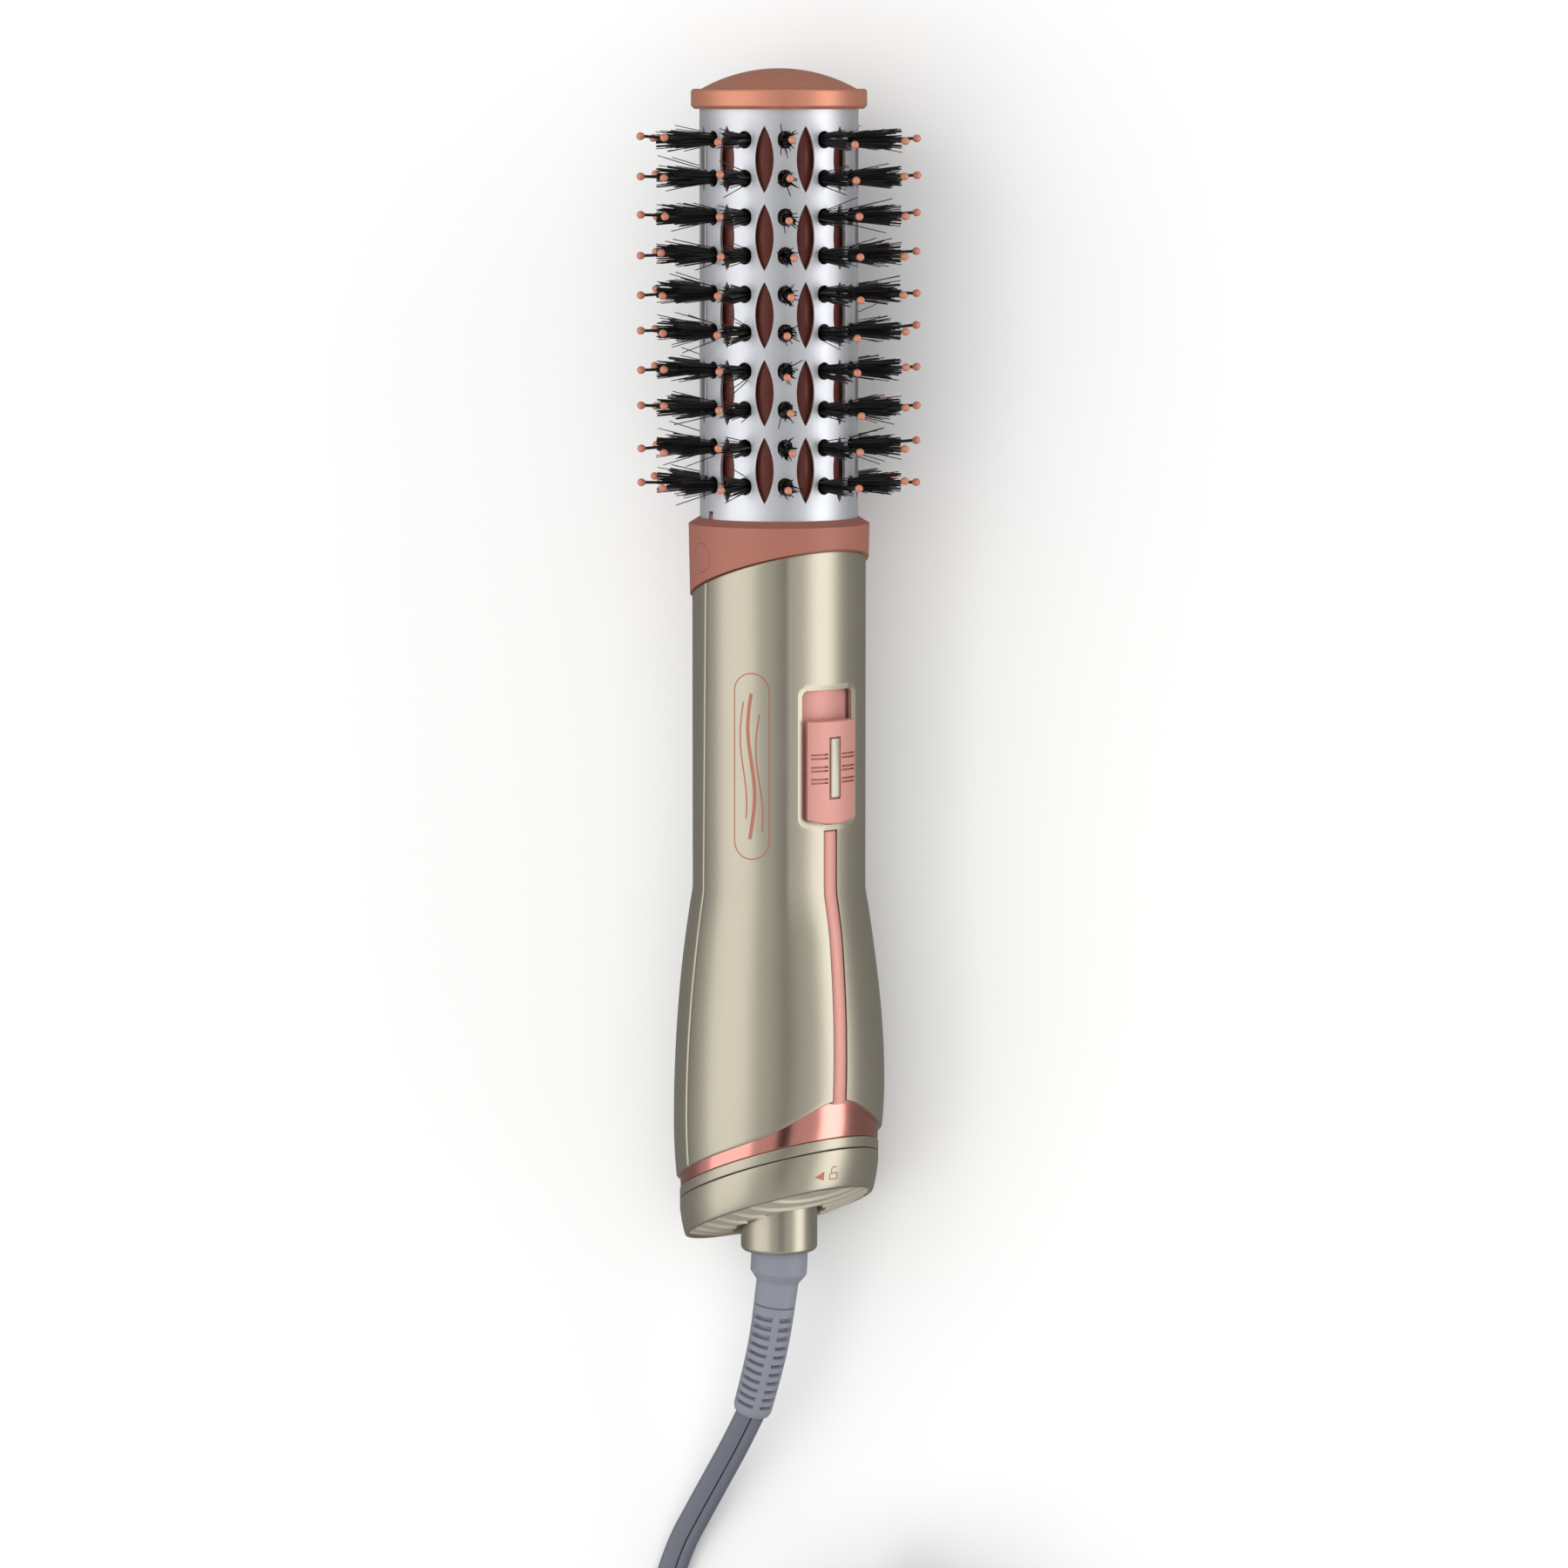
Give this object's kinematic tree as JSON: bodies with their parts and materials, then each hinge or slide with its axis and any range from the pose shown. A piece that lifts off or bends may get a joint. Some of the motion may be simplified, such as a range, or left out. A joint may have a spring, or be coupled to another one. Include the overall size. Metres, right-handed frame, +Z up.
{
  "type": "hot air brush",
  "caption": "Round hot air styling brush: slotted metal barrel with bristle tufts and ball-tipped pins on a cylindrical handle with thumb switch, twist-off filter cap and flat cord.",
  "frame": {"origin": "centre of the bottom of the brush's own box where it lies on a flat surface, cord and plug left out", "axes": "+Y along the brush towards its tip, +Z up from the surface it lies on"},
  "size_m": [0.0983, 0.4719, 0.07],
  "materials": {
    "copper_moulding": "satin metallic copper",
    "copper_matte": "matte copper, fine grain",
    "screw_steel": "plated steel",
    "barrel_aluminium": "satin",
    "core_brown": "glossy dark red-brown",
    "bristle_nylon": "nylon",
    "ball_copper": "dipped tip",
    "champagne_casing": "metallic champagne paint, satin",
    "rose_accent": "metallic rose copper",
    "rose_chrome": "polished rose-gold plating",
    "inlay_cream": "satin pale champagne",
    "filter_mesh": "fine mesh",
    "nylon_white": "natural nylon",
    "duct_plastic": "heat-resistant moulding",
    "mica": "mica sheet",
    "heater_wire": "resistance wire",
    "motor_steel": "plated can",
    "dark_plastic": "moulded",
    "board_green": "circuit board",
    "wire_sleeve": "wire insulation",
    "relief_rubber": "grey flexible moulding",
    "cord_rubber": "grey flat cord",
    "tie_black": "wire tie",
    "plug_plastic": "moulded plug",
    "blade_brass": "plated blades",
    "reset_red": "moulded button"
  },
  "bodies": {
    "handle": {"collar": "copper_matte", "latch_tongue": "copper_moulding", "handle_front_shell": "champagne_casing", "handle_rear_shell": "champagne_casing", "shell_screws": "screw_steel", "accent_strip": "rose_accent", "accent_band": "rose_chrome", "tail_ring": "champagne_casing", "neck": "champagne_casing", "cord_clamp": "nylon_white", "air_duct": "duct_plastic", "heater_frame": "mica", "heater_coil": "heater_wire", "thermostat": "screw_steel", "thermal_fuse": "screw_steel", "motor_case": "motor_steel", "motor_mount": "dark_plastic", "rectifier_board": "board_green", "rectifier_diodes": "dark_plastic", "switch_block": "dark_plastic", "lead_wires": "wire_sleeve", "strain_relief": "relief_rubber", "power_cord": "cord_rubber", "cord_coil": "cord_rubber", "cord_tie": "tie_black", "plug_body": "plug_plastic", "plug_blades": "blade_brass", "plug_relief": "cord_rubber"},
    "head": {"tip_cap": "copper_moulding", "cap_screw": "screw_steel", "barrel": "barrel_aluminium", "bristle_core": "core_brown", "bristle_strip_01": "bristle_nylon", "bristle_strip_02": "bristle_nylon", "bristle_strip_03": "bristle_nylon", "bristle_strip_04": "bristle_nylon", "bristle_strip_05": "bristle_nylon", "bristle_strip_06": "bristle_nylon", "bristle_strip_07": "bristle_nylon", "bristle_strip_08": "bristle_nylon", "bristle_strip_09": "bristle_nylon", "bristle_strip_10": "bristle_nylon", "bristle_strip_11": "bristle_nylon", "bristle_strip_12": "bristle_nylon", "bristle_tufts": "bristle_nylon", "pin_stems": "bristle_nylon", "pin_balls": "ball_copper"},
    "release": {"release_button": "copper_matte"},
    "slider": {"switch_slider": "rose_accent", "slider_skirt": "rose_accent", "slider_inlay": "inlay_cream"},
    "fan": {"motor_shaft": "screw_steel", "fan_impeller": "dark_plastic"},
    "tail": {"tail_cap": "champagne_casing", "lint_filter": "filter_mesh"},
    "plug_test": {"test_button": "dark_plastic"},
    "plug_reset": {"reset_button": "reset_red"}
  },
  "joints": [
    {"name": "head_pull", "type": "slide", "parent": "handle", "child": "head", "axis": [0, 0.9988, 0.0481], "range_m": [0, 0.04], "deforming": ["latch_tongue"]},
    {"name": "release_press", "type": "slide", "parent": "handle", "child": "release", "axis": [0.749, 0.0318, -0.6619], "range_m": [0, 0.0015], "stiffness_N_per_m": 900, "springref_m": -0.0005, "deforming": ["latch_tongue"]},
    {"name": "switch_slide", "type": "slide", "parent": "handle", "child": "slider", "axis": [0, 0.9988, 0.0481], "range_m": [0, 0.007]},
    {"name": "fan_spin", "type": "hinge", "parent": "handle", "child": "fan", "pos_m": [0, -0.06798, 0.02763], "axis": [0, 0.9988, 0.0481], "continuous": true},
    {"name": "tail_twist", "type": "hinge", "parent": "handle", "child": "tail", "pos_m": [0, -0.12451, 0.02491], "axis": [0.2782, -0.9392, 0.2012], "range_deg": [0, 15]},
    {"name": "plug_test_press", "type": "slide", "parent": "handle", "child": "plug_test", "axis": [1, 0, 0], "range_m": [0, 0.0008], "stiffness_N_per_m": 700, "springref_m": -0.0005},
    {"name": "plug_reset_press", "type": "slide", "parent": "handle", "child": "plug_reset", "axis": [1, 0, 0], "range_m": [0, 0.0008], "stiffness_N_per_m": 700, "springref_m": -0.0005}
  ]
}
